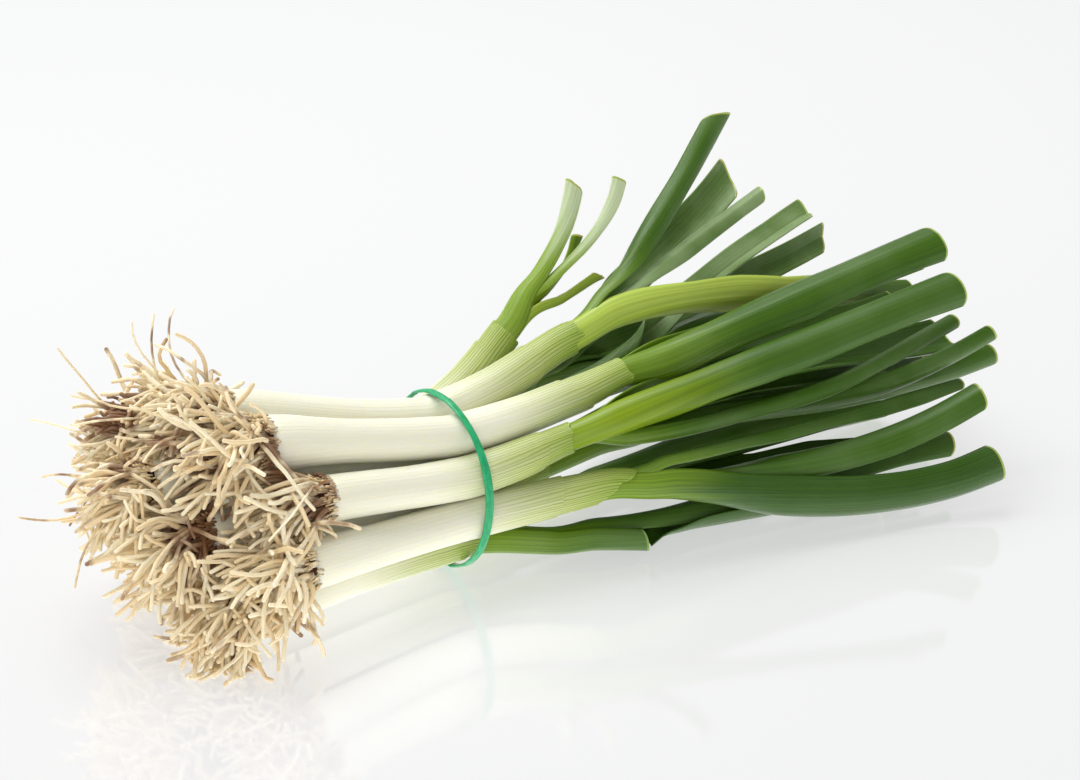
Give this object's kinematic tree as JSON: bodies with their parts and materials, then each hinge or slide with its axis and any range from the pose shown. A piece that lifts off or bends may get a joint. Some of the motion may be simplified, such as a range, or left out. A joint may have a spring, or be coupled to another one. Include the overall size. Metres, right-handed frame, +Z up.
{
  "type": "bunch of young leeks",
  "caption": "Bunch of young leeks lying on its side, root tufts at one end, trimmed green leaves fanning out at the other, held by a single rubber band round the white shafts",
  "frame": {"origin": "bottom centre of the bunch's bounding box, on the surface it lies on", "axes": "+X runs along the bunch from the roots to the leaves, +Z is up, +Y completes the frame to the back of the bunch"},
  "size_m": [0.3872, 0.1776, 0.143],
  "materials": {
    "shaft": "smooth moist white shaft turning pale green, semi-gloss",
    "roots": "dry cream and tan roots with brown soil, matt",
    "leaf": "waxy green leaf with fine parallel veins, satin",
    "rubber_band": "emerald green rubber, semi-gloss"
  },
  "bodies": {
    "root": {"leek_01_leaf_1": "leaf", "leek_01_leaf_2": "leaf", "leek_01_leaf_3": "leaf", "leek_01_roots": "roots", "leek_01_shaft": "shaft", "leek_02_leaf_1": "leaf", "leek_02_leaf_2": "leaf", "leek_02_leaf_3": "leaf", "leek_02_leaf_4": "leaf", "leek_02_roots": "roots", "leek_02_shaft": "shaft", "leek_03_leaf_1": "leaf", "leek_03_leaf_2": "leaf", "leek_03_leaf_3": "leaf", "leek_03_roots": "roots", "leek_03_shaft": "shaft", "leek_04_leaf_1": "leaf", "leek_04_leaf_2": "leaf", "leek_04_leaf_3": "leaf", "leek_04_roots": "roots", "leek_04_shaft": "shaft", "leek_05_leaf_1": "leaf", "leek_05_leaf_2": "leaf", "leek_05_leaf_3": "leaf", "leek_05_roots": "roots", "leek_05_shaft": "shaft", "leek_06_leaf_1": "leaf", "leek_06_leaf_2": "leaf", "leek_06_leaf_3": "leaf", "leek_06_roots": "roots", "leek_06_shaft": "shaft", "leek_07_leaf_1": "leaf", "leek_07_leaf_2": "leaf", "leek_07_leaf_3": "leaf", "leek_07_leaf_4": "leaf", "leek_07_roots": "roots", "leek_07_shaft": "shaft", "leek_08_leaf_1": "leaf", "leek_08_leaf_2": "leaf", "leek_08_leaf_3": "leaf", "leek_08_leaf_4": "leaf", "leek_08_roots": "roots", "leek_08_shaft": "shaft", "leek_09_leaf_1": "leaf", "leek_09_leaf_2": "leaf", "leek_09_leaf_3": "leaf", "leek_09_roots": "roots", "leek_09_shaft": "shaft", "leek_10_leaf_1": "leaf", "leek_10_leaf_2": "leaf", "leek_10_leaf_3": "leaf", "leek_10_roots": "roots", "leek_10_shaft": "shaft", "leek_11_leaf_1": "leaf", "leek_11_leaf_2": "leaf", "leek_11_leaf_3": "leaf", "leek_11_leaf_4": "leaf", "leek_11_roots": "roots", "leek_11_shaft": "shaft", "rubber_band": "rubber_band"}
  },
  "joints": []
}
